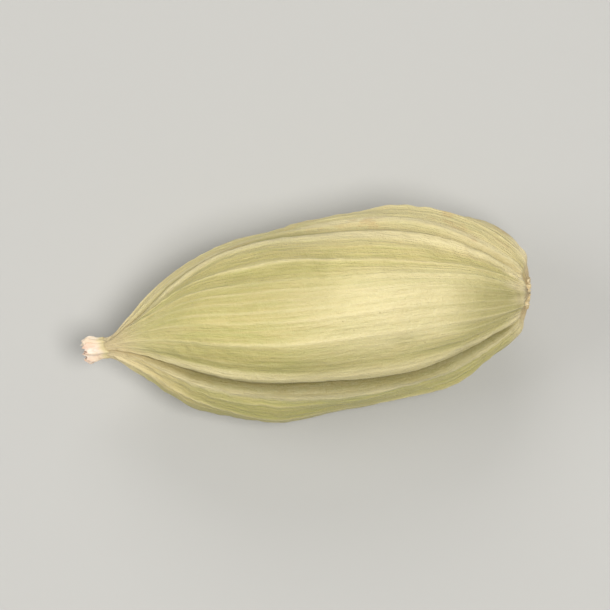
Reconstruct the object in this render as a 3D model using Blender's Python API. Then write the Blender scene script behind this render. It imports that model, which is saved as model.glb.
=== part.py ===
# A dried green cardamom pod: a three-lobed, ribbed capsule with a beak at one end and a stalk stub at
# the other. It lies along X with its beak towards -X, and rests on two small flat spots, one under
# each lower lobe.
import math

import bmesh
import bpy
import numpy as np

MM = 0.001  # every length below is in millimetres

# Capsule: a blunt cone at the beak, widest past the middle, and cut off square at the base.
BODY_LENGTH = 12.6
BODY_RADIUS = 2.73
WIDEST_AT = 0.52  # share of the body's length, counted from the beak
BEAK_POWER = 2.5  # how soon it reaches its full width from the beak
BASE_POWER = 3.15  # and from the base
BASE_CUT = 0.050  # share of the length by which it is cut short of closing by itself
BASE_CORNER = 150  # how tight the corner round the base is
NECK_HOLLOW = 0.30  # share by which it is drawn in toward the beak
NECK_REACH = 0.12  # share of the length over which that fades

# Beak with the dried remains of the flower, and the stub of the stalk in a shallow dish.
BEAK_LENGTH = 0.50
BEAK_RADIUS = 0.36
BEAK_WAIST = 0.07  # how much thinner the beak is at half its length
CUP_DEPTH = 0.16  # hollow in the beak's broken end
STUB_LENGTH = 0.07
STUB_RADIUS = 0.48
DISH_DEPTH = 0.20
DISH_RADIUS = 0.75
DISH_EASING = 0.40  # how far past that radius the dish reaches the rim
JOIN_POWER = 5  # how tightly the capsule's outline turns into the beak and the stub

# Relief on the skin.
LOBES = 3
LOBE_SWELL = 0.09  # share of the local radius
LOBE_EASING = 0.35  # share of the swell that is gone at the ends
CREASE_DEPTH = 0.18
CREASE_WIDTH = 0.075  # radians
CREASE_FADE = 0.5  # share by which the crease on the +Y side is shallower
RIBS = 27  # nine on each lobe
RIB_HEIGHT = 0.045
RIB_SHARPNESS = 2.2
# Furrows of shrinking: how many round the pod, their turns along it, where they start, their depth.
FURROWS = ((4, 1.3, 0.7, 0.020), (5, -1.9, 2.1, 0.020), (7, 2.6, 4.0, 0.018), (11, -3.1, 5.2, 0.014))
SEED_BULGE = 0.04
SEEDS_IN_A_ROW = 5
PLEATS = 6  # folds of the dried flower
PLEAT_DEPTH = 0.035
FIBRES = 9  # strands of the broken stalk
FIBRE_DEPTH = 0.03
BROKEN_EDGE = 0.09  # how uneven the broken ends are

# How the pod departs from a straight, even form.
TWIST = math.radians(32)  # from end to end
BEND_SIDE = 0.27
BEND_SKEW = 2.8  # above 1 the sideways bend is strongest past the middle
BEND_UP = 0.10
TOP_LOBE_SPREAD = 0.09  # radians by which each crease beside the top lobe stands off, at mid length
TOP_LOBE_TAPER = 0.57  # radians by which it comes nearer toward both ends
RIB_DRIFT = 0.05  # radians

# How it lies.
ROLL = math.radians(5.5)
PITCH = math.radians(-0.5)
FLAT_DEPTH = 0.08  # how much of each lower lobe is flattened by the ground

RINGS = 46
SEGMENTS = 4 * RIBS
END_SEGMENTS = SEGMENTS // 3  # the beak and the stub need fewer sides
RINGS_TOWARD_ENDS = 0.62  # how much closer the rings stand near the ends

HUSK_GREEN = (0.56, 0.50, 0.22, 1.0)
HUSK_ROUGHNESS = 0.62


def smooth_step(low, high, value):
    share = np.clip((value - low) / (high - low), 0, 1)
    return share * share * (3 - 2 * share)


def capsule_radius(along):
    """Radius of the smooth capsule at a share of its length."""
    share = np.clip(along, 0, 1)
    from_beak = np.minimum(1, share / WIDEST_AT)
    from_base = np.minimum(1, (1 - share + BASE_CUT) / (1 - WIDEST_AT + BASE_CUT))
    hollow = np.maximum((1 - from_beak) ** BEAK_POWER, (1 - from_base) ** BASE_POWER)
    neck = 1 - NECK_HOLLOW * np.exp(-((share / NECK_REACH) ** 2))
    closing = np.sqrt(1 - share**BASE_CORNER)
    return BODY_RADIUS * (1 - hollow) * neck * closing


def outline():
    """The turned profile as points (x, radius), from the middle of one end to the middle of the other."""
    lip = np.linspace(0, 1, 12, endpoint=False)
    x = np.concatenate([
        np.full(lip.size, -BEAK_LENGTH),
        np.linspace(-BEAK_LENGTH, 0, 60, endpoint=False),
        BODY_LENGTH * (0.5 - 0.5 * np.cos(np.linspace(0, math.pi, 500))),
        np.linspace(BODY_LENGTH, BODY_LENGTH + STUB_LENGTH, 30)[1:],
        np.full(lip.size, BODY_LENGTH + STUB_LENGTH),
    ])
    waist = BEAK_WAIST * np.sin(math.pi * np.clip(-x / BEAK_LENGTH, 0, 1))
    beak = np.where(x < BODY_LENGTH / 2, BEAK_RADIUS - waist, 0)
    stub = np.where(x > BODY_LENGTH / 2, STUB_RADIUS, 0)
    capsule = capsule_radius(x / BODY_LENGTH)
    radius = (capsule**JOIN_POWER + beak**JOIN_POWER + stub**JOIN_POWER) ** (1 / JOIN_POWER)
    near_base = smooth_step(0.90 * BODY_LENGTH, 0.97 * BODY_LENGTH, x)
    in_dish = 1 - smooth_step(DISH_RADIUS, DISH_RADIUS + DISH_EASING, radius)
    x = x - DISH_DEPTH * near_base * in_dish
    radius[: lip.size] *= lip
    x[: lip.size] += CUP_DEPTH * (1 - lip**2)
    radius[-lip.size :] *= lip[::-1]
    return x, radius


def stations():
    """The profile at RINGS steps, closer near both ends: x, radius and the outward normal's two parts."""
    x, radius = outline()
    run = np.concatenate([[0], np.cumsum(np.hypot(np.diff(x), np.diff(radius)))])
    share = np.linspace(0, 1, RINGS)
    steps = run[-1] * (share - RINGS_TOWARD_ENDS * np.sin(2 * math.pi * share) / (2 * math.pi))
    x, radius = np.interp(steps, run, x), np.interp(steps, run, radius)
    slope_x, slope_radius = np.gradient(x, steps), np.gradient(radius, steps)
    length = np.hypot(slope_x, slope_radius)
    return x, radius, -slope_radius / length, slope_x / length


def skin_height(around, along):
    """How far the skin stands off the turned profile: lobes, creases, ribs, furrows and the seeds' bulges."""
    from_crest = around - math.pi / 2
    on_body = smooth_step(0.0, 0.07, along) * smooth_step(0.005, 0.06, 1 - along)
    swell = LOBE_SWELL * capsule_radius(along) * (1 - LOBE_EASING * (2 * along - 1) ** 2)
    lobe_wave = np.cos(LOBES * from_crest)
    height = swell * lobe_wave

    lobe_angle = 2 * math.pi / LOBES
    from_crease = np.mod(from_crest, lobe_angle) - lobe_angle / 2
    crease = CREASE_DEPTH * (1 - CREASE_FADE * np.maximum(0, np.cos(around)))
    height -= crease * on_body * np.exp(-((from_crease / CREASE_WIDTH) ** 2))

    rib = np.mod(np.round(from_crest * RIBS / (2 * math.pi)), RIBS)
    waver = np.sin(2 * math.pi * 1.6 * along + 1.9 * rib)
    strength = (0.62 + 0.38 * np.sin(2.4 * rib + 3.8)) * (0.75 + 0.25 * waver)
    crest = (0.5 + 0.5 * np.cos(RIBS * from_crest)) ** RIB_SHARPNESS
    height += RIB_HEIGHT * on_body * strength * crest

    for count, turns, start, depth in FURROWS:
        height += depth * on_body * np.sin(count * around + 2 * math.pi * turns * along + start)

    lobe = np.mod(np.floor((from_crest + lobe_angle / 2) / lobe_angle), LOBES)
    seeds = np.sin(2 * math.pi * SEEDS_IN_A_ROW * along + 2 * lobe)
    return height + SEED_BULGE * on_body * seeds * (0.5 + 0.5 * lobe_wave)


def end_height(around, x):
    """The pleats of the dried flower on the beak, and the strands of the broken stalk on the stub."""
    on_beak = smooth_step(0, 0.3 * BEAK_LENGTH, -x)
    on_stub = smooth_step(0, 0.2 * STUB_LENGTH, x - BODY_LENGTH)
    pleats = PLEAT_DEPTH * on_beak * np.cos(PLEATS * around + 0.6)
    return pleats + FIBRE_DEPTH * on_stub * np.cos(FIBRES * around)


def bent_axis(along):
    """The pod's own axis at a share of its length: how far aside and up it lies, and its two slopes."""
    turn = math.pi * along**BEND_SKEW
    turn_slope = math.pi * BEND_SKEW * along ** (BEND_SKEW - 1) / BODY_LENGTH
    side, side_slope = BEND_SIDE * np.sin(turn), BEND_SIDE * np.cos(turn) * turn_slope
    up = BEND_UP * np.sin(math.pi * along)
    up_slope = BEND_UP * np.cos(math.pi * along) * math.pi / BODY_LENGTH
    return side, up, side_slope, up_slope


def skin_points():
    """The skin as an array of RINGS by SEGMENTS points, in millimetres, along the pod's own axis."""
    x, radius, normal_x, normal_out = (part[:, None] for part in stations())
    around = np.linspace(0, 2 * math.pi, SEGMENTS, endpoint=False)[None, :]
    along = np.clip(x / BODY_LENGTH, 0, 1)
    height = skin_height(around, along) + end_height(around, x)
    height *= np.minimum(1, radius / BEAK_RADIUS)  # nothing stands up at the middle of either end
    out = radius + normal_out * height
    at_end = smooth_step(0.5 * BEAK_LENGTH, BEAK_LENGTH, -x)
    at_end = at_end + 0.6 * smooth_step(0, STUB_LENGTH, x - BODY_LENGTH)
    uneven = 0.6 * np.sin(2 * around + 1) + 0.4 * np.sin(5 * around)
    broken = BROKEN_EDGE * uneven * at_end * np.minimum(1, radius / BEAK_RADIUS)

    fixed_drift = np.sin(2 * around + 1.0) + 0.6 * np.sin(5 * around + 2.0)
    running_drift = np.sin(3 * around + 2 * math.pi * 1.2 * along)
    spread = TOP_LOBE_SPREAD - TOP_LOBE_TAPER * (2 * along - 1) ** 2
    angle = around + RIB_DRIFT * (fixed_drift + running_drift) - spread * np.cos(around)
    angle += TWIST * (along - WIDEST_AT)
    y, z = out * np.cos(angle), out * np.sin(angle)
    side, up, side_slope, up_slope = bent_axis(along)
    leaning = side_slope * y + up_slope * z  # keeps each ring square to the bent axis
    x = x + broken + normal_x * height - leaning
    return np.stack([x - BODY_LENGTH / 2, side + y, up + z], axis=-1)


def stitch(mesh, coarse, fine):
    """Faces between a ring and one with the same or three times its vertices."""
    step = len(fine) // len(coarse)
    for i in range(len(coarse)):
        here, ahead = coarse[i], coarse[(i + 1) % len(coarse)]
        row = [fine[(step * i + k) % len(fine)] for k in range(step + 1)]
        if step == 1:
            mesh.faces.new((here, ahead, row[1], row[0]))
            continue
        mesh.faces.new((here, row[1], row[0]))
        mesh.faces.new((here, ahead, row[2], row[1]))
        mesh.faces.new((ahead, row[3], row[2]))


def pod_mesh():
    """The closed skin: rings of vertices along the pod, stitched together, with a fan on each end."""
    mesh = bmesh.new()
    points = skin_points() * MM
    x = stations()[0]
    rings = []
    for ring_x, ring in zip(x[1:-1], points[1:-1]):
        on_capsule = 0.02 < ring_x / BODY_LENGTH < 0.985
        every = 1 if on_capsule else SEGMENTS // END_SEGMENTS
        rings.append([mesh.verts.new(point) for point in ring[::every]])
    for near, far in zip(rings, rings[1:]):
        if len(near) <= len(far):
            stitch(mesh, near, far)
        else:
            stitch(mesh, far, near)
    for ring, middle in ((rings[0], points[0].mean(axis=0)), (rings[-1], points[-1].mean(axis=0))):
        tip = mesh.verts.new(middle)
        for i, vertex in enumerate(ring):
            mesh.faces.new((tip, vertex, ring[(i + 1) % len(ring)]))
    bmesh.ops.recalc_face_normals(mesh, faces=mesh.faces)
    data = bpy.data.meshes.new("cardamom_pod")
    mesh.to_mesh(data)
    mesh.free()
    data.shade_smooth()
    return data


def husk_material():
    material = bpy.data.materials.new("husk")
    material.use_nodes = True
    shader = material.node_tree.nodes["Principled BSDF"]
    shader.inputs["Base Color"].default_value = HUSK_GREEN
    shader.inputs["Roughness"].default_value = HUSK_ROUGHNESS
    shader.inputs["Metallic"].default_value = 0.0
    return material


def ground_cutter():
    """A slab whose top is the ground, which flattens what reaches below it."""
    bpy.ops.mesh.primitive_cube_add(size=1)
    slab = bpy.context.object
    slab.name = "ground_cutter"
    slab.scale = (2 * BODY_LENGTH * MM, 4 * BODY_RADIUS * MM, BODY_RADIUS * MM)
    slab.location.z = -slab.scale.z / 2
    slab.hide_render = True
    slab.display_type = "WIRE"
    return slab


def lay_down(pod):
    """Turns the pod as it rests, its box centred over the origin and its lower lobes just in the ground."""
    pod.rotation_euler = (ROLL, PITCH, 0)
    turned = pod.rotation_euler.to_matrix()
    corners = np.array([turned @ vertex.co for vertex in pod.data.vertices])
    low, high = corners.min(axis=0), corners.max(axis=0)
    middle = -(low + high) / 2
    pod.location = (middle[0], middle[1], -low[2] - FLAT_DEPTH * MM)


def build():
    for leftover in list(bpy.data.objects):
        bpy.data.objects.remove(leftover)
    pod = bpy.data.objects.new("cardamom_pod", pod_mesh())
    bpy.context.scene.collection.objects.link(pod)
    pod.data.materials.append(husk_material())
    lay_down(pod)
    flatten = pod.modifiers.new("flat_spots", "BOOLEAN")
    flatten.operation = "DIFFERENCE"
    flatten.object = ground_cutter()
    return pod


build()
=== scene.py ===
import math

import bpy
import numpy as np
from mathutils import Euler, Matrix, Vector


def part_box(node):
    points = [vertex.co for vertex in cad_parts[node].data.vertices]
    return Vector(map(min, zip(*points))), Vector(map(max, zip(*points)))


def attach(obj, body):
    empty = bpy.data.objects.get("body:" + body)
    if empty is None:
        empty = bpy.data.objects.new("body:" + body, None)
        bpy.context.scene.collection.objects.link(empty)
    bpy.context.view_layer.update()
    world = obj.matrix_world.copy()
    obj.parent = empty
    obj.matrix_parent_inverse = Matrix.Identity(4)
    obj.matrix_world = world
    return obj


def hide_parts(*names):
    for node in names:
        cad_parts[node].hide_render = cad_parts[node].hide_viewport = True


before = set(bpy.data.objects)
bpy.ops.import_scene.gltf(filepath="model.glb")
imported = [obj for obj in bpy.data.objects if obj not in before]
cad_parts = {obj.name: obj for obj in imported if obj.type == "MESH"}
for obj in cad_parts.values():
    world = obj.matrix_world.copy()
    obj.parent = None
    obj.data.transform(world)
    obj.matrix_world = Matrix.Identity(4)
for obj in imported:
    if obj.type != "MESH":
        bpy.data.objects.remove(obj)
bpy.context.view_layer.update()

podNode = "cardamom_pod"
mm = 0.001  # the pod's own sizes are in millimetres

# The pod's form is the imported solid's, from the same formulas and values.
pod = {
    "bodyLength": 12.6,
    "bodyRadius": 2.73,
    "widestAt": 0.52,  # share of the body's length, from the beak
    "beakPower": 2.5,
    "basePower": 3.15,
    "baseCut": 0.050,  # share of the length by which it is cut short of closing by itself
    "baseCorner": 150,
    "neckHollow": 0.30,  # share by which it is drawn in toward the beak
    "neckReach": 0.12,  # share of the length over which that fades
    "beakLength": 0.50,
    "beakRadius": 0.36,
    "beakWaist": 0.07,
    "cupDepth": 0.16,
    "stubLength": 0.07,
    "stubRadius": 0.48,
    "dishDepth": 0.20,
    "dishRadius": 0.75,
    "dishEasing": 0.40,
    "joinPower": 5,
    "lobes": 3,
    "lobeSwell": 0.09,
    "lobeEasing": 0.35,
    "creaseDepth": 0.18,
    "creaseWidth": 0.075,  # radians
    "creaseFade": 0.5,  # share by which the crease on the +Y side is shallower
    "ribs": 27,
    "ribHeight": 0.045,
    "ribSharpness": 2.2,
    "furrows": ((4, 1.3, 0.7, 0.020), (5, -1.9, 2.1, 0.020), (7, 2.6, 4.0, 0.018), (11, -3.1, 5.2, 0.014)),
    "seedBulge": 0.04,
    "seedsInARow": 5,
    "pleats": 6,
    "pleatDepth": 0.035,
    "fibres": 9,
    "fibreDepth": 0.03,
    "brokenEdge": 0.09,
    "twist": math.radians(32),
    "bendSide": 0.27,
    "bendSkew": 2.8,
    "bendUp": 0.10,
    "topLobeSpread": 0.09,  # radians
    "topLobeTaper": 0.57,  # radians
    "ribDrift": 0.05,  # radians
    "roll": math.radians(5.5),
    "pitch": math.radians(-0.5),
    "solidRings": 46,
    "solidSides": 108,
    "ringsTowardEnds": 0.62,
}


def smoothStep(low, high, value):
    share = np.clip((value - low) / (high - low), 0, 1)
    return share * share * (3 - 2 * share)


latticeTurn = np.array(Euler((0.6, 0.8, 0.5)).to_matrix())


def noise(places, seed):
    # Value noise from -1 to 1: random numbers on a slanting cubic lattice, blended by 6t^5 - 15t^4 + 10t^3.
    places = places @ latticeTurn
    cell = np.floor(places).astype(np.int64)
    part = places - cell
    blend = part**3 * (part * (part * 6 - 15) + 10)
    total = np.zeros(places.shape[:-1])
    for corner in np.ndindex(2, 2, 2):
        at = cell + np.array(corner)
        key = at[..., 0] * 374761393 + at[..., 1] * 668265263 + at[..., 2] * 2147483647 + seed * 974711
        key = (key ^ (key >> 13)) * 1274126177
        value = ((key ^ (key >> 16)) & 0xFFFF) / 0x7FFF - 1
        total += value * np.prod(np.where(corner, blend, 1 - blend), axis=-1)
    return total


def folds(places, seed):
    # Folds with sharp crests: 0.5 - |noise|.
    return 0.5 - np.abs(noise(places, seed))


def capsuleRadius(along):
    # R (1 - (1 - u)^p), with u the share of the way from an end to the widest place and a power for each end,
    # times 1 - 0.3 exp(-(s / 0.12)^2), which draws it in toward the beak, and sqrt(1 - s^150), which closes
    # the cut-off base round a tight corner.
    share = np.clip(along, 0, 1)
    fromBeak = np.minimum(1, share / pod["widestAt"])
    fromBase = np.minimum(1, (1 - share + pod["baseCut"]) / (1 - pod["widestAt"] + pod["baseCut"]))
    hollow = np.maximum((1 - fromBeak) ** pod["beakPower"], (1 - fromBase) ** pod["basePower"])
    neck = 1 - pod["neckHollow"] * np.exp(-((share / pod["neckReach"]) ** 2))
    closing = np.sqrt(1 - share ** pod["baseCorner"])
    return pod["bodyRadius"] * (1 - hollow) * neck * closing


def podOutline(beakLength, beakRadius, stubLength, stubRadius):
    # The turned profile: capsule, beak and stub joined as a high-power mean, with a dish round the stub.
    length = pod["bodyLength"]
    lip = np.linspace(0, 1, 12, endpoint=False)
    x = np.concatenate([
        np.full(lip.size, -beakLength),
        np.linspace(-beakLength, 0, 60, endpoint=False),
        length * (0.5 - 0.5 * np.cos(np.linspace(0, math.pi, 500))),
        np.linspace(length, length + stubLength, 30)[1:],
        np.full(lip.size, length + stubLength),
    ])
    waist = pod["beakWaist"] * np.sin(math.pi * np.clip(-x / beakLength, 0, 1))
    beak = np.where(x < length / 2, beakRadius - waist, 0)
    stub = np.where(x > length / 2, stubRadius, 0)
    power = pod["joinPower"]
    radius = (capsuleRadius(x / length) ** power + beak**power + stub**power) ** (1 / power)
    nearBase = smoothStep(0.90 * length, 0.97 * length, x)
    inDish = 1 - smoothStep(pod["dishRadius"], pod["dishRadius"] + pod["dishEasing"], radius)
    x = x - pod["dishDepth"] * nearBase * inDish
    radius[: lip.size] *= lip
    x[: lip.size] += pod["cupDepth"] * (1 - lip**2)
    radius[-lip.size :] *= lip[::-1]
    return x, radius


def stations(outline, count, towardEnds):
    # Reads a profile at steps of its own length, closer at both ends: x, radius and the normal's two parts.
    x, radius = outline
    run = np.concatenate([[0], np.cumsum(np.hypot(np.diff(x), np.diff(radius)))])
    share = np.linspace(0, 1, count)
    steps = run[-1] * (share - towardEnds * np.sin(2 * math.pi * share) / (2 * math.pi))
    x, radius = np.interp(steps, run, x), np.interp(steps, run, radius)
    slopeX, slopeRadius = np.gradient(x, steps), np.gradient(radius, steps)
    length = np.hypot(slopeX, slopeRadius)
    return tuple(part[:, None] for part in (x, radius, -slopeRadius / length, slopeX / length))


def onBody(along):
    return smoothStep(0.0, 0.07, along) * smoothStep(0.005, 0.06, 1 - along)


def creaseAngle(around):
    # The angle to the nearest of the three creases.
    lobeAngle = 2 * math.pi / pod["lobes"]
    return np.mod(around - math.pi / 2, lobeAngle) - lobeAngle / 2


def ribStrength(around, along):
    # Every rib has its own strength, which also wavers along it.
    rib = np.mod(np.round((around - math.pi / 2) * pod["ribs"] / (2 * math.pi)), pod["ribs"])
    waver = np.sin(2 * math.pi * 1.6 * along + 1.9 * rib)
    return (0.62 + 0.38 * np.sin(2.4 * rib + 3.8)) * (0.75 + 0.25 * waver)


def ribCrest(around, sharpness):
    return (0.5 + 0.5 * np.cos(pod["ribs"] * (around - math.pi / 2))) ** sharpness


def skinHeight(around, along):
    # Lobes as cos 3a, creases as narrow bell curves, ribs as (0.5 + 0.5 cos 27a)^2.2, furrows as drifting
    # sines, and the seeds' bulges on each lobe as sin(10 pi s).
    body = onBody(along)
    lobeWave = np.cos(pod["lobes"] * (around - math.pi / 2))
    swell = pod["lobeSwell"] * capsuleRadius(along) * (1 - pod["lobeEasing"] * (2 * along - 1) ** 2)
    height = swell * lobeWave
    crease = pod["creaseDepth"] * (1 - pod["creaseFade"] * np.maximum(0, np.cos(around)))
    height = height - crease * body * np.exp(-((creaseAngle(around) / pod["creaseWidth"]) ** 2))
    ribs = ribStrength(around, along) * ribCrest(around, pod["ribSharpness"])
    height += pod["ribHeight"] * body * ribs
    for count, turns, start, depth in pod["furrows"]:
        height += depth * body * np.sin(count * around + 2 * math.pi * turns * along + start)
    lobeAngle = 2 * math.pi / pod["lobes"]
    lobe = np.mod(np.floor((around - math.pi / 2 + lobeAngle / 2) / lobeAngle), pod["lobes"])
    seeds = np.sin(2 * math.pi * pod["seedsInARow"] * along + 2 * lobe)
    return height + pod["seedBulge"] * body * seeds * (0.5 + 0.5 * lobeWave)


def bentPod(x, out, around):
    # Carries a point given by its place along the axis, its distance from it and its angle onto the bent,
    # twisted pod: the axis lies aside by sin(pi s^2.8) and up by sin(pi s), each ring stays square to it, and
    # the angle drifts, with the creases beside the top lobe closing in toward both ends.
    along = np.clip(x / pod["bodyLength"], 0, 1)
    drift = np.sin(2 * around + 1.0) + 0.6 * np.sin(5 * around + 2.0)
    drift = drift + np.sin(3 * around + 2 * math.pi * 1.2 * along)
    spread = pod["topLobeSpread"] - pod["topLobeTaper"] * (2 * along - 1) ** 2
    angle = around + pod["ribDrift"] * drift - spread * np.cos(around)
    angle = angle + pod["twist"] * (along - pod["widestAt"])
    y, z = out * np.cos(angle), out * np.sin(angle)
    turn = math.pi * along ** pod["bendSkew"]
    turnSlope = math.pi * pod["bendSkew"] * along ** (pod["bendSkew"] - 1) / pod["bodyLength"]
    side, sideSlope = pod["bendSide"] * np.sin(turn), pod["bendSide"] * np.cos(turn) * turnSlope
    up = pod["bendUp"] * np.sin(math.pi * along)
    upSlope = pod["bendUp"] * np.cos(math.pi * along) * math.pi / pod["bodyLength"]
    return np.stack([x - pod["bodyLength"] / 2 - sideSlope * y - upSlope * z, side + y, up + z], axis=-1)


podTurn = np.array(Euler((pod["roll"], pod["pitch"], 0)).to_matrix())


def solidShift():
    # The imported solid's coarse grid worked out again, which gives the shift from the axis to the frame.
    outline = podOutline(pod["beakLength"], pod["beakRadius"], pod["stubLength"], pod["stubRadius"])
    x, radius, normalX, normalOut = stations(outline, pod["solidRings"], pod["ringsTowardEnds"])
    around = np.linspace(0, 2 * math.pi, pod["solidSides"], endpoint=False)[None, :]
    along = np.clip(x / pod["bodyLength"], 0, 1)
    onBeak = smoothStep(0, 0.3 * pod["beakLength"], -x)
    onStub = smoothStep(0, 0.2 * pod["stubLength"], x - pod["bodyLength"])
    height = skinHeight(around, along) + pod["pleatDepth"] * onBeak * np.cos(pod["pleats"] * around + 0.6)
    height = height + pod["fibreDepth"] * onStub * np.cos(pod["fibres"] * around)
    ease = np.minimum(1, radius / pod["beakRadius"])
    atEnd = smoothStep(0.5 * pod["beakLength"], pod["beakLength"], -x)
    atEnd = atEnd + 0.6 * smoothStep(0, pod["stubLength"], x - pod["bodyLength"])
    broken = pod["brokenEdge"] * (0.6 * np.sin(2 * around + 1) + 0.4 * np.sin(5 * around)) * atEnd * ease
    places = bentPod(x, radius + normalOut * height * ease, around)
    places[..., 0] += broken + normalX * height * ease
    turned = places @ podTurn.T
    low, high = turned.min(axis=(0, 1)), turned.max(axis=(0, 1))
    boxLow, boxHigh = (np.array(corner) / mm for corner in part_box(podNode))
    shift = (boxLow + boxHigh) / 2 - (low + high) / 2
    shift[2] = boxHigh[2] - high[2]
    return shift


podShift = solidShift()
print("frame: the pod's axis sits at", (podShift * mm).round(6).tolist())


def toFrame(places):
    # From millimetres along the pod's axis to metres in the frame; nothing reaches below the ground.
    moved = places @ podTurn.T + podShift
    moved[..., 2] = np.maximum(moved[..., 2], 0)
    return moved * mm


def ringSurface(name, bodies, attributes=None):
    # Each body is rings of points joined to their neighbours, with a fan to the middle of each end.
    spots, faces, start = [], [], 0
    for rings in bodies:
        count, sides = rings.shape[:2]
        spots.append(rings.reshape(-1, 3))
        spots.append(np.stack([rings[0].mean(axis=0), rings[-1].mean(axis=0)]))
        here = start + np.arange(count * sides).reshape(count, sides)
        ahead = np.roll(here, -1, axis=1)
        faces += np.stack([here[:-1], ahead[:-1], ahead[1:], here[1:]], axis=-1).reshape(-1, 4).tolist()
        first = start + count * sides
        faces += np.stack([np.full(sides, first), ahead[0], here[0]], axis=-1).tolist()
        faces += np.stack([np.full(sides, first + 1), here[-1], ahead[-1]], axis=-1).tolist()
        start += count * sides + 2
    mesh = bpy.data.meshes.new(name)
    mesh.from_pydata(np.concatenate(spots).tolist(), [], faces)
    for label, values in (attributes or {}).items():
        isVector = values.ndim == 3
        flat = values.reshape(-1, values.shape[-1]) if isVector else values.reshape(-1)
        sides = values.shape[1]
        ends = np.stack([flat[:sides].mean(axis=0), flat[-sides:].mean(axis=0)])
        layer = mesh.attributes.new(label, "FLOAT_VECTOR" if isVector else "FLOAT", "POINT")
        layer.data.foreach_set("vector" if isVector else "value", np.concatenate([flat, ends]).ravel())
    mesh.shade_smooth()
    piece = bpy.data.objects.new(name, mesh)
    bpy.context.scene.collection.objects.link(piece)
    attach(piece, "root")
    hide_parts(podNode)
    return piece


class Wire:
    # One socket of a material. Sums, differences and products of wires add their own Math nodes.
    def __init__(self, tree, socket):
        self.tree, self.socket = tree, socket

    def node(self, kind, settings, values, output=0):
        # Any other node: its settings go on first, then each socket gets its value or its link.
        made = self.tree.nodes.new(kind)
        for name, value in settings.items():
            setattr(made, name, value)
        for place, value in values.items():
            if isinstance(value, Wire):
                self.tree.links.new(value.socket, made.inputs[place])
            else:
                made.inputs[place].default_value = value
        return Wire(self.tree, made.outputs[output])

    def math(self, operation, *others):
        return self.node("ShaderNodeMath", {"operation": operation}, dict(enumerate(others)))

    def __add__(self, other):
        return self.math("ADD", self, other)

    def __sub__(self, other):
        return self.math("SUBTRACT", self, other)

    def __rsub__(self, other):
        return self.math("SUBTRACT", other, self)

    def __mul__(self, other):
        return self.math("MULTIPLY", self, other)

    __radd__, __rmul__ = __add__, __mul__

    def step(self, low, high):
        # 0 below low, 1 above high, and a smooth rise between; a fall where low is the greater one.
        values = {"Value": self, "From Min": low, "From Max": high}
        return self.node("ShaderNodeMapRange", {"interpolation_type": "SMOOTHSTEP"}, values)

    def mix(self, first, second):
        # A colour between two, by this wire as the factor.
        settings = {"data_type": "RGBA", "clamp_factor": True}
        return self.node("ShaderNodeMix", settings, {0: self, 6: first, 7: second}, output=2)

    def stretch(self, factors):
        return self.node("ShaderNodeVectorMath", {"operation": "MULTIPLY"}, {0: self, 1: factors})

    def cloud(self, scale, detail=3.0, roughness=0.5):
        # Noise from 0 to 1 at this wire's place.
        values = {"Vector": self, "Scale": scale, "Detail": detail, "Roughness": roughness}
        return self.node("ShaderNodeTexNoise", {"noise_dimensions": "3D"}, values)

    def attribute(self, label, output="Fac"):
        return self.node("ShaderNodeAttribute", {"attribute_name": label}, {}, output)


def newMaterial(name, constants):
    # A Principled material with its constant sockets set. Gives the material, its shader and a wire to start
    # from.
    material = bpy.data.materials.new(name)
    material.use_nodes = True
    tree = material.node_tree
    shader = tree.nodes["Principled BSDF"]
    for place, value in constants.items():
        shader.inputs[place].default_value = value
    return material, shader, Wire(tree, None)


def feed(shader, place, wire):
    wire.tree.links.new(wire.socket, shader.inputs[place])


flowerPleats = 7  # folds of the dried flower, which start on the husk's neck


def pleatPhase(around):
    # The folds' phase, which wavers so that they are unevenly wide.
    return flowerPleats * around + 0.8 * np.sin(2 * around)


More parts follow.
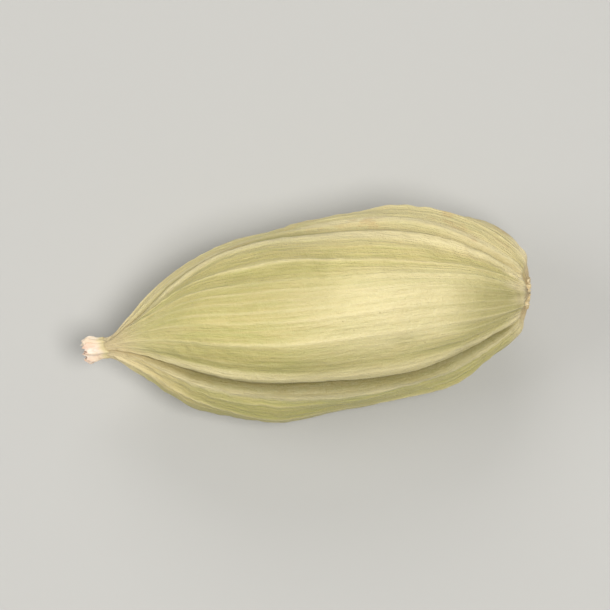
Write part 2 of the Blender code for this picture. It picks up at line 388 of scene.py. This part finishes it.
# The husk.
husk = {
    "rings": 250,
    "sides": 384,
    "ringsTowardEnds": 0.45,
    "neckLength": 0.06,  # what of the beak is husk, inside the dried flower
    "neckRadius": 0.285,
    "plugLength": 0.03,  # what of the stub is husk
    "plugRadius": 0.40,
    "fluteHeight": 0.020,
    "fluteReach": 0.35,  # millimetres from the body's end to which the flower's folds go on
    "nerveHeight": 0.026,
    "faintNerves": 0.55,  # height and paleness of the nerves between the ribs, beside the ribs' own
    "meander": 0.020,  # radians by which the nerves wander
    "wrinkleHeight": 0.030,
    "crossHeight": 0.050,  # wrinkles across the pod, in patches
    "crumpleHeight": 0.034,
    "lipHeight": 0.055,
    "lipOff": 2.4,  # crease widths from the crease to its lip
    "baseRelief": 0.6,  # share of the fine relief that the base keeps
    "collarAt": 0.960,  # share of the length where a groove marks off the cream rim of the base
    "collarDepth": 0.030,
    "collarWidth": 0.007,
    "baseCrease": 0.12,  # depth of the creases on the base
    "baseCreaseWidth": 0.22,
    # noise cells for a millimetre across the pod, twice, and along it
    "meanderCells": (0.9, 0.9, 0.45),
    "faintCells": (1.1, 1.1, 0.25),
    "threadCells": (1.2, 1.2, 0.5),
    "wrinkleCells": (1.5, 1.5, 0.30),
    "patchCells": (0.65, 0.65, 0.40),
    "crossCells": (1.3, 1.3, 3.1),
    "crumpleCells": (3.2, 3.2, 0.9),
    "crinkleCells": (6.0, 6.0, 3.4),
    "rimCells": (2.0, 2.0, 0.3),
    # The tones that lie over parts of the skin, four of them painted shade and one partly a painted
    # highlight: the middle's angle, the degrees by which it turns over the whole length, half width in
    # degrees, strength, the shares of the length between which it comes in, the share of it that is lost
    # again, and the shares of the length between which that goes.
    "tones": {
        # pale straw with a painted highlight over it, on the top lobe
        "crest": (106, -30, 44, 1.0, (0.32, 0.64), 0.40, (0.76, 0.92)),  # palest, on the top lobe
        # painted shade in the next four tones: above the near crease, toward the base, on the near lobe, and
        # on the top lobe toward the beak
        "slope": (142, 0, 27, 1.25, (0.04, 0.18), 0.35, (0.50, 0.70)),  # darkest, above the near crease
        "corner": (110, 0, 34, 1.0, (0.74, 0.88), 0.0, (0.0, 1.0)),  # dark toward the base
        "under": (210, 0, 58, 1.0, (0.00, 0.20), 0.40, (0.50, 0.70)),  # dark on the near lobe
        "upper": (70, 0, 36, 0.6, (0.12, 0.25), 1.0, (0.42, 0.62)),  # dark on the top lobe, toward the beak
        "farLobe": (8, 0, 52, 0.35, (0.00, 0.07), 1.0, (0.940, 0.995)),  # cream on the far side
        "farBase": (8, 0, 52, 0.65, (0.40, 0.62), 0.0, (0.0, 1.0)),  # and more of it toward the base
        "blush": (172, 0, 44, 1.0, (0.27, 0.10), 0.0, (0.0, 1.0)),  # warm at the near crease, toward the beak
    },
    "tonesAt": 0.55,  # share of the length where the middle angles hold
    # the crease tint is partly the seams' own colour, partly painted shade; the groove tint is painted shade
    "creaseTint": 1.8,  # crease widths over which a crease is tinted
    "grooveTint": 0.32,  # the groove's tint beside the creases' own
    "rimStart": -5.5,  # groove widths past the groove where the rim's colour starts; less than 0 is before it
    "rimFull": 4.5,
    "rimUneven": 4.0,
    "scarRadius": 0.45,  # the stalk's scar is fully tinted out to here
    "scarFade": 1.25,
    "reliefUnit": 0.03,  # millimetres of fine relief that count as 1 in the material
    # how far each tint covers the skin; shade is painted shade, hollow partly painted shade
    # and lip a painted highlight
    "cover": {
        "shade": 0.48,
        "blush": 0.45,
        "rib": 0.15,
        "hollow": 0.40,
        "lip": 0.72,
        "blot": 0.22,
        "speck": 0.5,
    },
    "green": (0.385, 0.385, 0.110, 1),
    # the green of the painted shade, also used in the hollows
    "shadeGreen": (0.245, 0.225, 0.050, 1),
    "straw": (0.55, 0.465, 0.185, 1),
    "pale": (0.74, 0.655, 0.375, 1),
    # the seams' olive, also the painted shade in the creases and the groove
    "olive": (0.125, 0.100, 0.018, 1),
    "cream": (0.76, 0.63, 0.37, 1),
    "rim": (0.82, 0.71, 0.43, 1),
    "blush": (0.66, 0.50, 0.25, 1),
    "tan": (0.46, 0.30, 0.12, 1),
    "brown": (0.15, 0.085, 0.03, 1),
    "roughness": 0.42,
    "bump": 0.000034,
}


def onBase(along, radius):
    # 1 on the blunt base outside the stalk's scar, where the relief shared with the solid has faded out.
    return smoothStep(0.90, 0.97, along) * smoothStep(0.45, 1.0, radius) * (1 - onBody(along))


def huskRelief(around, along, radius, grain):
    # Detail finer than the solid's: a sharp nerve on each rib and fainter ones between, long wrinkles,
    # patches wrinkled across, crumpled skin, a raised lip beside each crease, a groove round the base, and
    # the creases as they go on over the base.
    base = onBase(along, radius)
    lines = husk["nerveHeight"] * huskNerves(around, along, grain)
    lines = lines + husk["lipHeight"] * huskLips(around, along)
    cut = husk["baseCrease"] * base * np.exp(-((creaseAngle(around) * radius / husk["baseCreaseWidth"]) ** 2))
    wrinkles = husk["wrinkleHeight"] * noise(grain * husk["wrinkleCells"], 11)
    patches = smoothStep(-0.35, 0.45, noise(grain * husk["patchCells"], 29))
    across = husk["crossHeight"] * patches * folds(grain * husk["crossCells"], 37)
    crumple = folds(grain * husk["crumpleCells"], 23) + 0.5 * folds(grain * husk["crinkleCells"], 31)
    fading = 0.5 + 0.5 * np.sin(2 * around + 0.4) * np.sin(3 * around)
    groove = husk["collarDepth"] * fading * np.exp(-(fromGroove(around, along) ** 2))
    skin = lines + wrinkles + across + husk["crumpleHeight"] * crumple
    return (onBody(along) + husk["baseRelief"] * base) * skin - groove - cut


def fromGroove(around, along):
    # How many widths past the base's groove a place lies; the groove wavers round the pod.
    place = husk["collarAt"] + 0.004 * np.sin(3 * around + 1) + 0.003 * np.sin(8 * around)
    return (along - place) / husk["collarWidth"]


def huskNerves(around, along, grain):
    # (0.5 + 0.5 cos 27a)^12 gives a thin line on each rib, a power of 9 half a step aside the fainter ones,
    # and cos 108a the threads between.
    bent = around + husk["meander"] * noise(grain * husk["meanderCells"], 5)
    main = ribStrength(around, along) * ribCrest(bent, 12)
    here = smoothStep(-0.4, 0.4, noise(grain * husk["faintCells"], 17))
    between = ribCrest(bent + math.pi / pod["ribs"], 9) * here
    threads = 0.3 * np.cos(4 * pod["ribs"] * bent + 2.0 * noise(grain * husk["threadCells"], 19))
    return main + husk["faintNerves"] * (between + threads)


def huskLips(around, along):
    # A bell curve at either side of each crease, which fades toward the beak.
    fromLip = np.abs(creaseAngle(around)) / pod["creaseWidth"] - husk["lipOff"]
    return np.exp(-(fromLip**2)) * smoothStep(0.0, 0.20, along)


def toneOver(name, around, along):
    # A window round the pod, which is 1 as far as 0.35 of its half width and falls smoothly to 0 at its end,
    # times the tone's strength, its smooth rise along the pod and its smooth loss.
    middle, drift, halfWidth, strength, rise, loss, fall = husk["tones"][name]
    turned = np.degrees(around) - middle - drift * (along - husk["tonesAt"])
    away = np.abs(np.mod(turned + 180, 360) - 180)
    window = 1 - smoothStep(0.35 * halfWidth, halfWidth, away)
    return strength * window * smoothStep(*rise, along) * (1 - loss * smoothStep(*fall, along))


def huskTints(around, along, radius, grain, fine):
    # What the material reads at each point of the skin: its place, its relief and where each tint lies.
    body, pastGroove = onBody(along), fromGroove(around, along)
    tone = {name: toneOver(name, around, along) for name in husk["tones"]}
    # darker olive in and beside the creases: partly the seams' own colour, partly painted shade
    crease = np.exp(-((creaseAngle(around) / (husk["creaseTint"] * pod["creaseWidth"])) ** 2))
    crease = crease * (0.5 + 0.5 * smoothStep(0.06, 0.24, along))
    crease = crease * smoothStep(0, 0.05, along) * smoothStep(0.02, 0.05, 1 - along)
    # painted shade in the base's groove
    groove = husk["grooveTint"] * np.exp(-(pastGroove**2))
    nerves = np.clip(huskNerves(around, along, grain), 0, 1)
    rimEdge = pastGroove + husk["rimUneven"] * noise(grain * husk["rimCells"], 53)
    scar = smoothStep(0.9, 0.95, along) * smoothStep(husk["scarFade"], husk["scarRadius"], radius)
    return {
        "grain": grain,
        "along": np.broadcast_to(along, fine.shape),
        "relief": fine / husk["reliefUnit"],
        "crease": np.maximum(crease, groove),
        # a painted highlight along the lips beside the creases
        "lip": huskLips(around, along) * body,
        "nerve": nerves * (body + 0.8 * onBase(along, radius)),
        "rib": ribStrength(around, along) * ribCrest(around, 2) * body,
        "rim": smoothStep(husk["rimStart"], husk["rimFull"], rimEdge),
        "scar": np.broadcast_to(scar, fine.shape),
        "farSide": tone["farLobe"] + tone["farBase"],
        # painted shade: the strongest of the four dark tones
        "shade": np.maximum.reduce([tone["slope"], tone["corner"], tone["under"], tone["upper"]]),
        "blush": tone["blush"] * body,
        # pale straw and a painted highlight on the top lobe
        "crest": tone["crest"] * body,
    }


def makeHusk():
    # The turned profile plus the height of all relief, measured along the profile's normal, and then bent.
    outline = podOutline(husk["neckLength"], husk["neckRadius"], husk["plugLength"], husk["plugRadius"])
    x, radius, normalX, normalOut = stations(outline, husk["rings"] + 2, husk["ringsTowardEnds"])
    x, radius, normalX, normalOut = (part[1:-1] for part in (x, radius, normalX, normalOut))
    around = np.linspace(0, 2 * math.pi, husk["sides"], endpoint=False)[None, :]
    along = np.clip(x / pod["bodyLength"], 0, 1)
    y, z = pod["bodyRadius"] * np.cos(around), pod["bodyRadius"] * np.sin(around)
    grain = np.stack(np.broadcast_arrays(y, z, x), axis=-1)
    fine = huskRelief(around, along, radius, grain)
    flutes = husk["fluteHeight"] * smoothStep(husk["fluteReach"], -0.05, x) * np.cos(pleatPhase(around))
    height = (skinHeight(around, along) + fine + flutes) * np.minimum(1, radius / husk["neckRadius"])
    places = bentPod(x, radius + normalOut * height, around)
    places[..., 0] += normalX * height
    return ringSurface("husk", [toFrame(places)], huskTints(around, along, radius, grain, fine))


def huskMaterial():
    material, shader, wire = newMaterial("huskSkin", {
        "Specular IOR Level": 0.62,
        "Subsurface Weight": 0.06,
        "Subsurface Radius": (0.9, 0.8, 0.35),
        "Subsurface Scale": 0.0004,
        "Sheen Weight": 0.05,
    })
    grain = wire.attribute("grain", "Vector")
    along = wire.attribute("along")
    relief = wire.attribute("relief")
    patches = grain.stretch((0.55, 0.55, 0.16)).cloud(1.0, 2.0).step(0.36, 0.66)
    streaks = grain.stretch((3.4, 3.4, 0.30)).cloud(1.0, 4.0, 0.6)
    fine = grain.stretch((9.0, 9.0, 2.2)).cloud(1.0, 4.0, 0.65)
    fibres = grain.stretch((11.0, 11.0, 0.9)).cloud(1.0, 3.0, 0.6)
    farSide, cover = wire.attribute("farSide"), husk["cover"]
    blend = patches * 0.45 + streaks.step(0.35, 0.7) * 0.30 + fibres.step(0.42, 0.62) * 0.30
    colour = blend.mix(husk["green"], husk["straw"])
    # paler on the top lobe: pale straw with a painted highlight
    colour = (wire.attribute("crest") * (0.35 + streaks * 0.6)).mix(colour, husk["pale"])
    colour = (farSide * (0.45 + patches * 0.4)).mix(colour, husk["cream"])
    # painted shade: a darker green where less light falls
    colour = (wire.attribute("shade") * cover["shade"]).mix(colour, husk["shadeGreen"])
    colour = (wire.attribute("blush") * cover["blush"]).mix(colour, husk["blush"])
    colour = (wire.attribute("rib") * cover["rib"]).mix(colour, husk["pale"])
    colour = (wire.attribute("nerve") * (0.30 + fibres * 0.35)).mix(colour, husk["pale"])
    # darker in the fine relief's hollows: painted shade, partly the greener skin of the furrows
    colour = (relief.step(-0.1, -1.9) * cover["hollow"]).mix(colour, husk["shadeGreen"])
    # pale along the raised lips beside the creases: a painted highlight
    colour = (wire.attribute("lip") * cover["lip"]).mix(colour, husk["pale"])
    # olive in the creases and the base's groove: the seams' own colour and painted shade
    colour = (wire.attribute("crease") * (0.80 - farSide * 0.60)).mix(colour, husk["olive"])
    colour = (along.step(0.22, 0.02) * (0.20 + streaks * 0.3)).mix(colour, husk["pale"])
    colour = (along.step(0.12, 0.015) * (0.65 + streaks * 0.5)).mix(colour, husk["cream"])
    colour = (wire.attribute("rim") * (1.25 - streaks * 0.8)).mix(colour, husk["rim"])
    colour = (wire.attribute("scar") * (0.35 + fine * 0.5)).mix(colour, husk["tan"])
    blots = grain.stretch((1.5, 1.5, 0.9)).cloud(1.0, 5.0, 0.7)
    colour = (blots.step(0.64, 0.76) * cover["blot"]).mix(colour, husk["tan"])
    colour = (blots.step(0.52, 0.66) * farSide * 0.45).mix(colour, husk["tan"])
    specks = wire.node("ShaderNodeTexVoronoi", {"feature": "F1"}, {"Vector": grain, "Scale": 2.7}, "Distance")
    specks = specks.step(0.085, 0.03) * grain.cloud(0.9, 2.0).step(0.46, 0.60)
    colour = (specks * cover["speck"]).mix(colour, husk["brown"])
    colour = (fine.step(0.35, 0.75) * 0.12).mix(colour, husk["tan"])
    feed(shader, "Base Color", colour)
    feed(shader, "Roughness", husk["roughness"] + fine * 0.22 - wire.attribute("rib") * 0.06)
    weave = grain.stretch((16.0, 16.0, 5.0)).cloud(1.0, 5.0, 0.62)
    cross = grain.stretch((5.0, 5.0, 11.0)).cloud(1.0, 3.0, 0.6)
    bump = wire.node("ShaderNodeBump", {}, {
        "Strength": 1.0,
        "Distance": husk["bump"],
        "Height": weave + cross * 0.8 + fibres * 1.2,
    })
    feed(shader, "Normal", bump)
    return material


huskPiece = makeHusk()
huskPiece.data.materials.append(huskMaterial())
print("husk:", len(huskPiece.data.polygons), "faces")


# The dried remains of the flower on the beak: a pleated papery tube with a torn rim, and petals in it.
flower = {
    "sides": 160,
    "rings": 80,
    "baseAt": 0.16,  # millimetres from the body's end, inwards
    "baseUneven": 0.10,
    "rimAt": 0.52,
    "baseRadius": 0.312,
    "waistRadius": 0.31,
    "bulgeRadius": 0.375,
    "rimRadius": 0.24,
    "wall": 0.030,
    "footWall": 0.008,
    "innerEasing": 0.45,  # share of the way back down its inside that goes by a smooth step
    "pleatDepth": 0.040,
    "crumple": 0.045,
    "tear": 0.12,
    "petals": 6,
    "petalLength": 0.44,
    "petalWidth": 0.17,
    "petalThickness": 0.035,
    "petalStart": 0.10,  # millimetres past the body's end
    "petalSides": 14,
    "petalRings": 16,
    "paper": (0.76, 0.62, 0.46, 1),
    "pink": (0.80, 0.53, 0.41, 1),
    "bleached": (0.86, 0.76, 0.66, 1),
    "rust": (0.42, 0.23, 0.12, 1),
    "foot": (0.60, 0.50, 0.27, 1),
}


def flowerTube():
    # A sleeve whose radius goes by smooth steps from base to waist, bulge and rim, with pleats as cos 7a and
    # crumpled by noise. The grid runs up the outside, over the torn rim and back down the inside.
    around = np.linspace(0, 2 * math.pi, flower["sides"], endpoint=False)[None, :]
    path = np.linspace(-1, 1, flower["rings"])[:, None]
    height = 1 - np.abs(path) ** 1.15
    inside = smoothStep(-0.04, 0.04, path)
    wave = np.stack([1.6 * np.cos(around), 1.6 * np.sin(around), np.zeros_like(around)], axis=-1)
    start, rim = flower["baseAt"] + flower["baseUneven"] * noise(wave * 1.7, 47), flower["rimAt"]
    torn = folds(wave * 2.2, 3) + 0.35 * noise(wave * 5.0, 7)
    reach = rim + start - flower["tear"] * (0.6 - torn)
    depth = height * reach * (1 - flower["innerEasing"] * inside)
    x = start - depth - flower["innerEasing"] * reach * inside * smoothStep(0, 1, height)
    share = np.clip((start - x) / (start + rim), 0, 1)
    base, waist, bulge = flower["baseRadius"], flower["waistRadius"], flower["bulgeRadius"]
    radius = base + (waist - base) * smoothStep(0.0, 0.30, share)
    radius = radius + (bulge - waist) * smoothStep(0.22, 0.60, share)
    radius = radius + (flower["rimRadius"] - bulge) * smoothStep(0.66, 1.0, share)
    radius = radius + flower["pleatDepth"] * np.cos(pleatPhase(around) + 1.2 * share) * (0.4 + 0.6 * share)
    cells = np.stack(np.broadcast_arrays(2.4 * np.cos(around), 2.4 * np.sin(around), 3.0 * share), axis=-1)
    crumpled = noise(cells, 13) + 0.6 * folds(cells * 2.2, 14)
    radius = radius + flower["crumple"] * crumpled * smoothStep(0.25, 0.7, share)
    wall = flower["footWall"] + (flower["wall"] - flower["footWall"]) * smoothStep(0.0, 0.3, share)
    return bentPod(x, radius - wall * inside, around), share


def flowerPetals():
    # Withered petals: flattened rods whose middle line leaves the axis, curls over and twists as it goes.
    bodies = []
    turn = np.linspace(0, 2 * math.pi, flower["petalSides"], endpoint=False)[None, :]
    t = np.linspace(0.02, 0.98, flower["petalRings"])[:, None]
    for i in range(flower["petals"]):
        heading = 2 * math.pi * i / flower["petals"] + 0.5 * math.sin(3.1 * i)
        length = flower["petalLength"] * (0.82 + 0.18 * math.sin(2.3 * i + 1))
        away = 0.06 + (0.13 + 0.07 * math.sin(1.7 * i)) * t**1.4
        swing = heading + 0.9 * t * math.sin(4.1 * i + 0.6)
        across = flower["petalWidth"] * np.sin(math.pi * t**0.7) ** 0.6 * 0.5
        through = flower["petalThickness"] * 0.5 * (1 + 0.3 * np.sin(9 * t + i))
        roll = swing + math.pi / 2 + 1.1 * t * math.cos(2.9 * i)
        wide, thick = across * np.cos(turn), through * np.sin(turn)
        y = away * np.cos(swing) + wide * np.cos(roll) - thick * np.sin(roll)
        z = away * np.sin(swing) + wide * np.sin(roll) + thick * np.cos(roll)
        x = -flower["petalStart"] - length * t + 0.03 * np.sin(6 * t + i) + 0.03 * np.cos(turn) * t
        bodies.append(toFrame(bentPod(x, np.hypot(y, z), np.arctan2(z, y)))[::-1])
    return bodies


def flowerMaterial():
    material, shader, wire = newMaterial("dryFlower", {
        "Roughness": 0.72,
        "Specular IOR Level": 0.30,
        "Subsurface Weight": 0.15,
        "Subsurface Radius": (1.0, 0.7, 0.5),
        "Subsurface Scale": 0.0002,
    })
    place = wire.node("ShaderNodeTexCoord", {}, {}, "Object")
    mottle = place.stretch((1000, 2600, 2600)).cloud(1.0, 3.0)
    veins = place.stretch((900, 9000, 9000)).cloud(1.0, 3.0, 0.6)
    colour = mottle.step(0.35, 0.65).mix(flower["paper"], flower["pink"])
    colour = (veins.step(0.42, 0.66) * 0.8).mix(colour, flower["bleached"])
    spots = place.stretch((3000, 3000, 3000)).cloud(1.0, 4.0).step(0.60, 0.74)
    colour = (spots * 0.5).mix(colour, flower["rust"])
    colour = wire.attribute("fromFoot").step(0.42, 0.05).mix(colour, flower["foot"])
    feed(shader, "Base Color", colour)
    bump = wire.node("ShaderNodeBump", {}, {"Strength": 1.0, "Distance": 0.000012, "Height": veins + mottle})
    feed(shader, "Normal", bump)
    return material


flowerPaint = flowerMaterial()
tubePlaces, tubeShare = flowerTube()
tubePiece = ringSurface("flowerTube", [toFrame(tubePlaces)], {"fromFoot": tubeShare})
petalPiece = ringSurface("flowerPetals", flowerPetals())
for spot in petalPiece.data.attributes.new("fromFoot", "FLOAT", "POINT").data:
    spot.value = 1.0
for piece in (tubePiece, petalPiece):
    piece.data.materials.append(flowerPaint)
print("flower: tube and", flower["petals"], "petals")


# The broken stub of the stalk: a fluted core and the fibre ends all over its top.
stalk = {
    "sides": 120,
    "rings": 40,
    "sideShare": 0.45,  # share of the rings that lies on the side, and the rest on the broken top
    "coreRadius": 0.44,
    "coreStart": 0.42,  # millimetres before the body's end
    "coreEnd": -0.15,  # millimetres past it
    "fluting": 0.025,
    "fibres": 46,
    "fibreTurn": 2.399963,  # radians from one fibre to the next, the golden angle
    "fibreSpread": 0.93,  # share of the core's radius that they cover
    "fibreRadius": 0.050,
    "fibreRoot": 0.12,  # millimetres below the core's top where they start
    "fibreRise": 0.06,
    "bark": (0.52, 0.40, 0.20, 1),
    "wood": (0.70, 0.58, 0.36, 1),
    "pith": (0.80, 0.71, 0.51, 1),
    "dark": (0.17, 0.10, 0.04, 1),
}


def stalkCore():
    # A short column: its side is fluted by cos 9a, and its broken top closes as 1 - 0.985 t^1.2, with noise.
    around = np.linspace(0, 2 * math.pi, stalk["sides"], endpoint=False)[None, :]
    path = np.linspace(0, 1, stalk["rings"])[:, None]
    side = np.clip(path / stalk["sideShare"], 0, 1)
    top = np.clip((path - stalk["sideShare"]) / (1 - stalk["sideShare"]), 0, 1)
    radius = stalk["coreRadius"] * (1 + 0.05 * (1 - side)) * (1 - top**1.2 * 0.985)
    radius = radius + stalk["fluting"] * np.cos(pod["fibres"] * around + 0.5) * (1 - top)
    cells = 9 * np.stack([radius * np.cos(around), radius * np.sin(around), np.zeros_like(radius)], axis=-1)
    rise = stalk["coreStart"] + stalk["coreEnd"]
    x = pod["bodyLength"] - stalk["coreStart"] + rise * smoothStep(-0.2, 1.0, side)
    x = x + 0.045 * noise(cells, 41) * smoothStep(0.7, 1.0, side) - 0.05 * smoothStep(0.2, 1.0, top)
    return bentPod(x, radius, around)


def stalkFibres():
    # Fibre ends: short tapered rods spread over the top by the golden angle, each broken at its own height.
    bodies = []
    turn = np.linspace(0, 2 * math.pi, 8, endpoint=False)[None, :]
    t = np.linspace(0, 1, 6)[:, None]
    for i in range(stalk["fibres"]):
        heading = stalk["fibreTurn"] * i
        away = stalk["fibreSpread"] * stalk["coreRadius"] * math.sqrt((i + 0.5) / stalk["fibres"])
        rise = stalk["fibreRise"] * (0.35 + 0.65 * abs(math.sin(5.3 * i + 0.4)))
        thick = stalk["fibreRadius"] * (0.7 + 0.3 * math.sin(2.7 * i)) * (1 - 0.5 * t**2)
        lean = 0.05 * math.sin(7.7 * i) * t
        y = away * math.cos(heading) + lean + thick * np.cos(turn)
        z = away * math.sin(heading) + 0.05 * math.cos(3.9 * i) * t + thick * np.sin(turn)
        x = pod["bodyLength"] + stalk["coreEnd"] - stalk["fibreRoot"] + (0.10 + rise) * t
        bodies.append(toFrame(bentPod(x, np.hypot(y, z), np.arctan2(z, y))))
    return bodies


def stalkMaterial():
    material, shader, wire = newMaterial("stalkWood", {"Roughness": 0.78, "Specular IOR Level": 0.28})
    place = wire.node("ShaderNodeTexCoord", {}, {}, "Object")
    mottle = place.stretch((2500, 3500, 3500)).cloud(1.0, 4.0, 0.6)
    strands = place.stretch((1200, 14000, 14000)).cloud(1.0, 3.0)
    colour = mottle.step(0.35, 0.68).mix(stalk["bark"], stalk["wood"])
    colour = (strands.step(0.50, 0.70) * 0.7).mix(colour, stalk["pith"])
    colour = (strands.step(0.42, 0.30) * 0.6).mix(colour, stalk["dark"])
    feed(shader, "Base Color", colour)
    bump = wire.node("ShaderNodeBump", {}, {"Strength": 1.0, "Distance": 0.000020, "Height": strands})
    feed(shader, "Normal", bump)
    return material


stalkPaint = stalkMaterial()
corePiece = ringSurface("stalkCore", [toFrame(stalkCore())])
fibrePiece = ringSurface("stalkFibres", stalkFibres())
for piece in (corePiece, fibrePiece):
    piece.data.materials.append(stalkPaint)
print("stalk: core and", stalk["fibres"], "fibre ends")


# The studio: a pale floor that rises as a bowl all round, soft lamps and the camera.
studio = {
    "flatRadius": 0.16,
    "bowlRadius": 0.52,
    "bowlHeight": 0.30,
    "bowlReach": 1.1,  # bowl radii at which the slope would end
    "floorSides": 128,
    "floorRings": 60,
    "floorColour": (0.44, 0.44, 0.43, 1),
    "worldColour": (1.0, 0.99, 0.97, 1),
    "worldStrength": 0.24,
    # place, size, watts and colour of each lamp, which all aim at the pod
    "lamps": {
        "keyLamp": ((0.06, -0.120, 0.350), 0.16, 1.24, (1.0, 0.98, 0.94)),
        "fillLamp": ((-0.30, 0.05, 0.22), 0.26, 0.54, (1.0, 0.99, 0.97)),
        "backLamp": ((0.00, 0.28, 0.22), 0.22, 0.36, (1.0, 0.98, 0.95)),
    },
    "cameraAzimuth": math.radians(-7.4),
    "cameraElevation": math.radians(76),
    "cameraDistance": 0.146,
    "lens": 300,
    "aim": (0.0, 0.0002, 0.0028),
}


def makeFloor():
    # z(r) = height * s^2 (3 - 2 s), turned about Z, with s the share of the way from the flat middle to where
    # the slope would end.
    around = np.linspace(0, 2 * math.pi, studio["floorSides"], endpoint=False)[None, :]
    r = studio["bowlRadius"] * np.linspace(0.02, 1, studio["floorRings"])[::-1, None]
    z = studio["bowlHeight"] * smoothStep(studio["flatRadius"], studio["bowlReach"] * studio["bowlRadius"], r)
    rings = np.stack(np.broadcast_arrays(r * np.cos(around), r * np.sin(around), z), axis=-1)
    spots = np.concatenate([rings.reshape(-1, 3), [[0, 0, 0]]])
    here = np.arange(rings.shape[0] * rings.shape[1]).reshape(rings.shape[:2])
    ahead = np.roll(here, -1, axis=1)
    faces = np.stack([here[1:], here[:-1], ahead[:-1], ahead[1:]], axis=-1).reshape(-1, 4).tolist()
    faces += np.stack([np.full(here.shape[1], len(spots) - 1), here[-1], ahead[-1]], axis=-1).tolist()
    mesh = bpy.data.meshes.new("studioFloor")
    mesh.from_pydata(spots.tolist(), [], faces)
    mesh.shade_smooth()
    floor = bpy.data.objects.new("studioFloor", mesh)
    bpy.context.scene.collection.objects.link(floor)
    paint = newMaterial("paleFloor", {"Base Color": studio["floorColour"], "Roughness": 0.85})[0]
    mesh.materials.append(paint)


def makeLights():
    world = bpy.data.worlds.new("studioWorld")
    world.use_nodes = True
    world.node_tree.nodes["Background"].inputs["Color"].default_value = studio["worldColour"]
    world.node_tree.nodes["Background"].inputs["Strength"].default_value = studio["worldStrength"]
    bpy.context.scene.world = world
    for name, (place, size, watts, colour) in studio["lamps"].items():
        lamp = bpy.data.lights.new(name, "AREA")
        lamp.shape, lamp.size, lamp.energy, lamp.color = "DISK", size, watts, colour
        holder = bpy.data.objects.new(name, lamp)
        holder.location = place
        holder.rotation_euler = (-Vector(place)).to_track_quat("-Z", "Y").to_euler()
        bpy.context.scene.collection.objects.link(holder)


def makeCamera():
    data = bpy.data.cameras.new("camera")
    data.lens = studio["lens"]
    data.clip_start, data.clip_end = 0.001, 5
    camera = bpy.data.objects.new("camera", data)
    azimuth, elevation = studio["cameraAzimuth"], studio["cameraElevation"]
    back = Vector((
        math.sin(azimuth) * math.cos(elevation),
        -math.cos(azimuth) * math.cos(elevation),
        math.sin(elevation),
    ))
    camera.location = Vector(studio["aim"]) + back * studio["cameraDistance"]
    camera.rotation_euler = (-back).to_track_quat("-Z", "Y").to_euler()
    bpy.context.scene.collection.objects.link(camera)
    bpy.context.scene.camera = camera


makeFloor()
makeLights()
makeCamera()
bpy.context.scene.view_settings.view_transform = "Standard"
print("studio: floor, lamps and camera")
